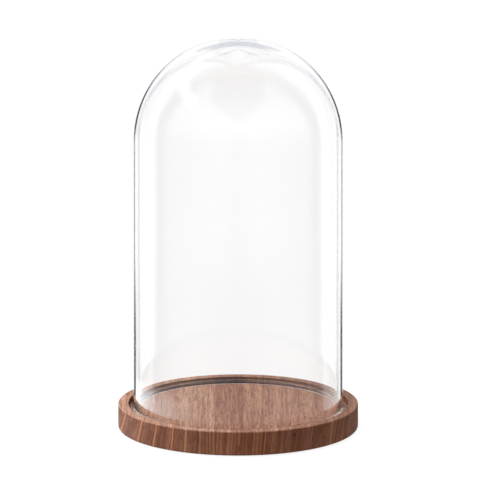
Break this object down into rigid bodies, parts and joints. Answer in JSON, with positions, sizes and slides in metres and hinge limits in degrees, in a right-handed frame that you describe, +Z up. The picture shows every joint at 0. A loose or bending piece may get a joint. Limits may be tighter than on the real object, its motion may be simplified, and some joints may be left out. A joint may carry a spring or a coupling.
{
  "type": "bell jar display dome",
  "caption": "Clear glass bell jar dome with a thick rounded crown, standing loose in the shallow tray of a round solid-wood display base.",
  "frame": {"origin": "on the dome's axis, at the level of the four pads' resting faces", "axes": "+Z up along the dome's axis, -Y towards the front, wood grain along Y"},
  "size_m": [0.17, 0.17, 0.2821],
  "materials": {
    "clear_glass": "polished blown clear glass, 5.8 mm thick at the crown",
    "wood_light_board": "satin oiled reddish-brown hardwood, lighter board",
    "wood_dark_board": "satin oiled reddish-brown hardwood, darker board",
    "foot_rubber": "thin matt black rubber pad, self-adhesive"
  },
  "bodies": {
    "base": {"base_left_board": "wood_light_board", "base_right_board": "wood_dark_board", "foot_pad_front_left": "foot_rubber", "foot_pad_front_right": "foot_rubber", "foot_pad_back_left": "foot_rubber", "foot_pad_back_right": "foot_rubber"},
    "dome": {"glass_dome": "clear_glass"}
  },
  "joints": [
    {"name": "dome_lift", "type": "slide", "parent": "base", "child": "dome", "axis": [0, 0, 1], "range_m": [0, 0.3]}
  ]
}
